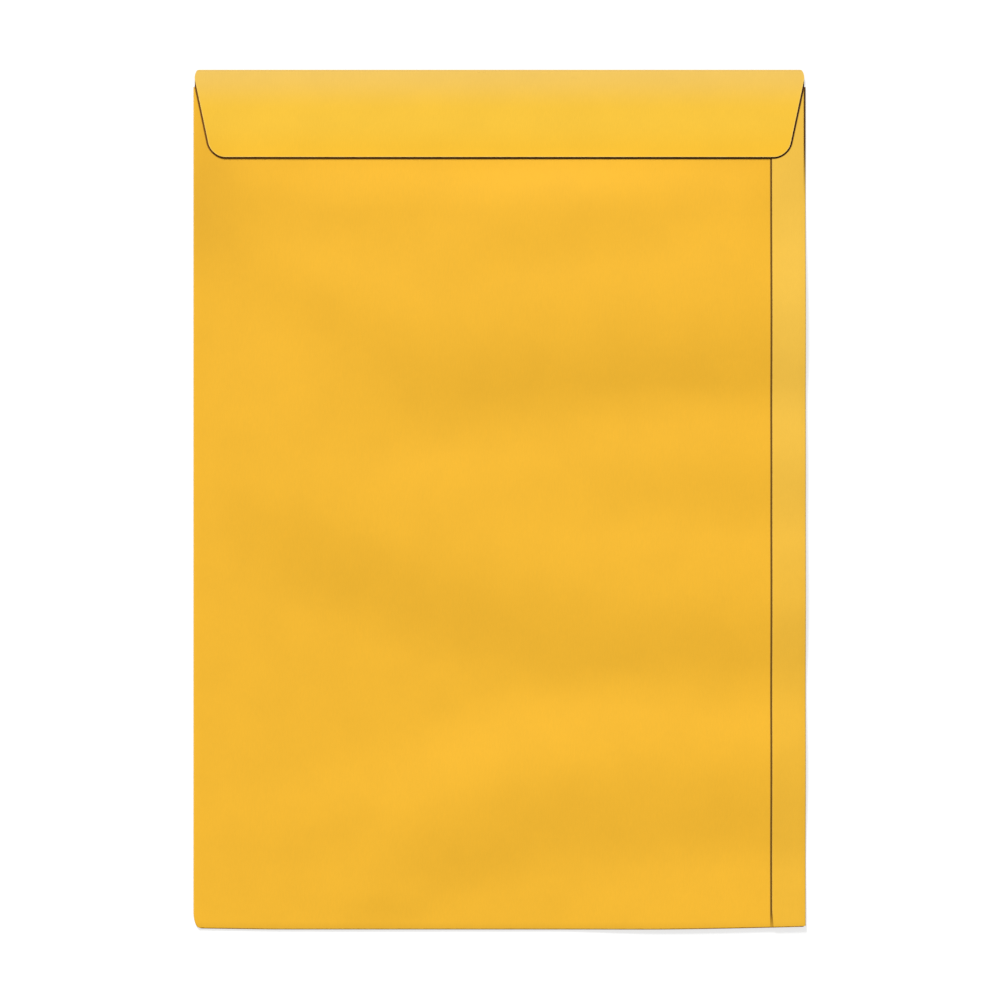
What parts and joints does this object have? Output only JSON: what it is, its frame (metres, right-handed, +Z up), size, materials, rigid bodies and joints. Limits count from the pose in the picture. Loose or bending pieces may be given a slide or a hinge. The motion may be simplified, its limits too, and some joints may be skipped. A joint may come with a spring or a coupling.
{
  "type": "kraft envelope",
  "caption": "Closed pocket envelope of golden kraft paper for A4 sheets, with a short-side flap, a side seam strip and softly rippled panels.",
  "frame": {"origin": "middle of the footprint, on the surface that the envelope lies on, under its face-down front panel", "axes": "+Y towards the flap end, +X towards the side with the seam strip as seen from the flap side, +Z up out of the flap side"},
  "size_m": [0.23, 0.323, 0.0038],
  "materials": {
    "kraft_paper": "matte"
  },
  "bodies": {
    "root": {"envelope": "kraft_paper"}
  },
  "joints": []
}
